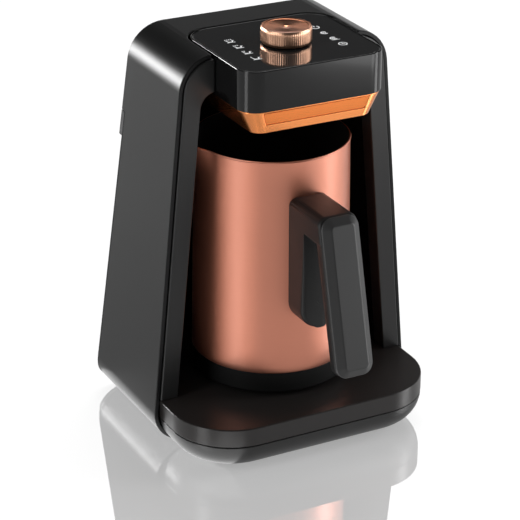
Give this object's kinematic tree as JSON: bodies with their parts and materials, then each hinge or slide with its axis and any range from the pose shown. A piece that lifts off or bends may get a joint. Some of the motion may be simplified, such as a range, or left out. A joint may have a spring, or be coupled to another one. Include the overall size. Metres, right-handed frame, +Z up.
{
  "type": "electric turkish coffee maker",
  "caption": "Countertop electric Turkish coffee maker: open alcove with hot plate, overhanging head with press-and-turn knob and touch panel, removable copper pot with handle",
  "frame": {"origin": "on the floor, under the middle of the bounding box", "axes": "+Z up, the machine's front and the pot's handle face -Y, +X is the viewer's right when looking at the front"},
  "size_m": [0.1688, 0.1782, 0.25],
  "materials": {
    "casing_charcoal": "fine satin texture",
    "cover_dark": "fine matt texture",
    "gloss_black": "polished",
    "orange_copper": "copper-coloured metallised plastic",
    "rose_copper": "brushed copper plating",
    "steel": "zinc plated",
    "plate_metal": "cast and coated",
    "rubber": "matt",
    "board": "solder mask",
    "white_parts": "moulded",
    "blue_parts": "moulded",
    "copper_wire": "insulation"
  },
  "bodies": {
    "machine": {"outer_casing": "casing_charcoal", "rear_cover": "cover_dark", "front_bezel": "casing_charcoal", "alcove_liner": "gloss_black", "base_tray": "casing_charcoal", "base_pan": "casing_charcoal", "rubber_feet": "rubber", "hot_plate": "plate_metal", "plate_seal": "rubber", "plate_clamp_ring": "steel", "heating_element": "steel", "heat_shield": "steel", "temperature_sensor": "steel", "thermal_fuse": "white_parts", "head_housing": "gloss_black", "touch_panel": "gloss_black", "control_board": "board", "indicator_lights": "white_parts", "buzzer": "cover_dark", "encoder_body": "steel", "trim_band": "orange_copper", "trim_plate": "orange_copper", "hood_floor": "cover_dark", "foam_sensor_lens": "gloss_black", "foam_sensor_board": "board", "power_board": "board", "relay": "blue_parts", "transformer": "blue_parts", "capacitor": "blue_parts", "terminal_block": "white_parts", "main_harness": "copper_wire", "mains_leads": "copper_wire", "cord_gland": "rubber", "base_screws": "steel", "rear_cover_screws": "steel", "clamp_screws": "steel", "head_screws": "steel"},
    "encoder": {"encoder_rotor": "white_parts"},
    "knob": {"encoder_shaft": "steel", "knob_hub": "cover_dark", "knob_cap": "rose_copper"},
    "pot": {"pot_body": "rose_copper", "pot_base_ring": "rubber", "pot_base_disc": "steel", "handle_bracket": "steel", "handle_shell": "cover_dark", "handle_cover": "casing_charcoal", "handle_screws": "steel", "bracket_screws": "steel", "bracket_plugs": "cover_dark"}
  },
  "joints": [
    {"name": "knob_turn", "type": "hinge", "parent": "machine", "child": "encoder", "pos_m": [0, 0.00015, 0.23], "axis": [0, 0, 1], "continuous": true},
    {"name": "knob_push", "type": "slide", "parent": "encoder", "child": "knob", "axis": [0, 0, -1], "range_m": [0, 0.0005], "stiffness_N_per_m": 1500, "springref_m": -0.0015},
    {"name": "pot_pull_out", "type": "slide", "parent": "machine", "child": "pot", "axis": [0, -1, 0], "range_m": [0, 0.15]}
  ]
}
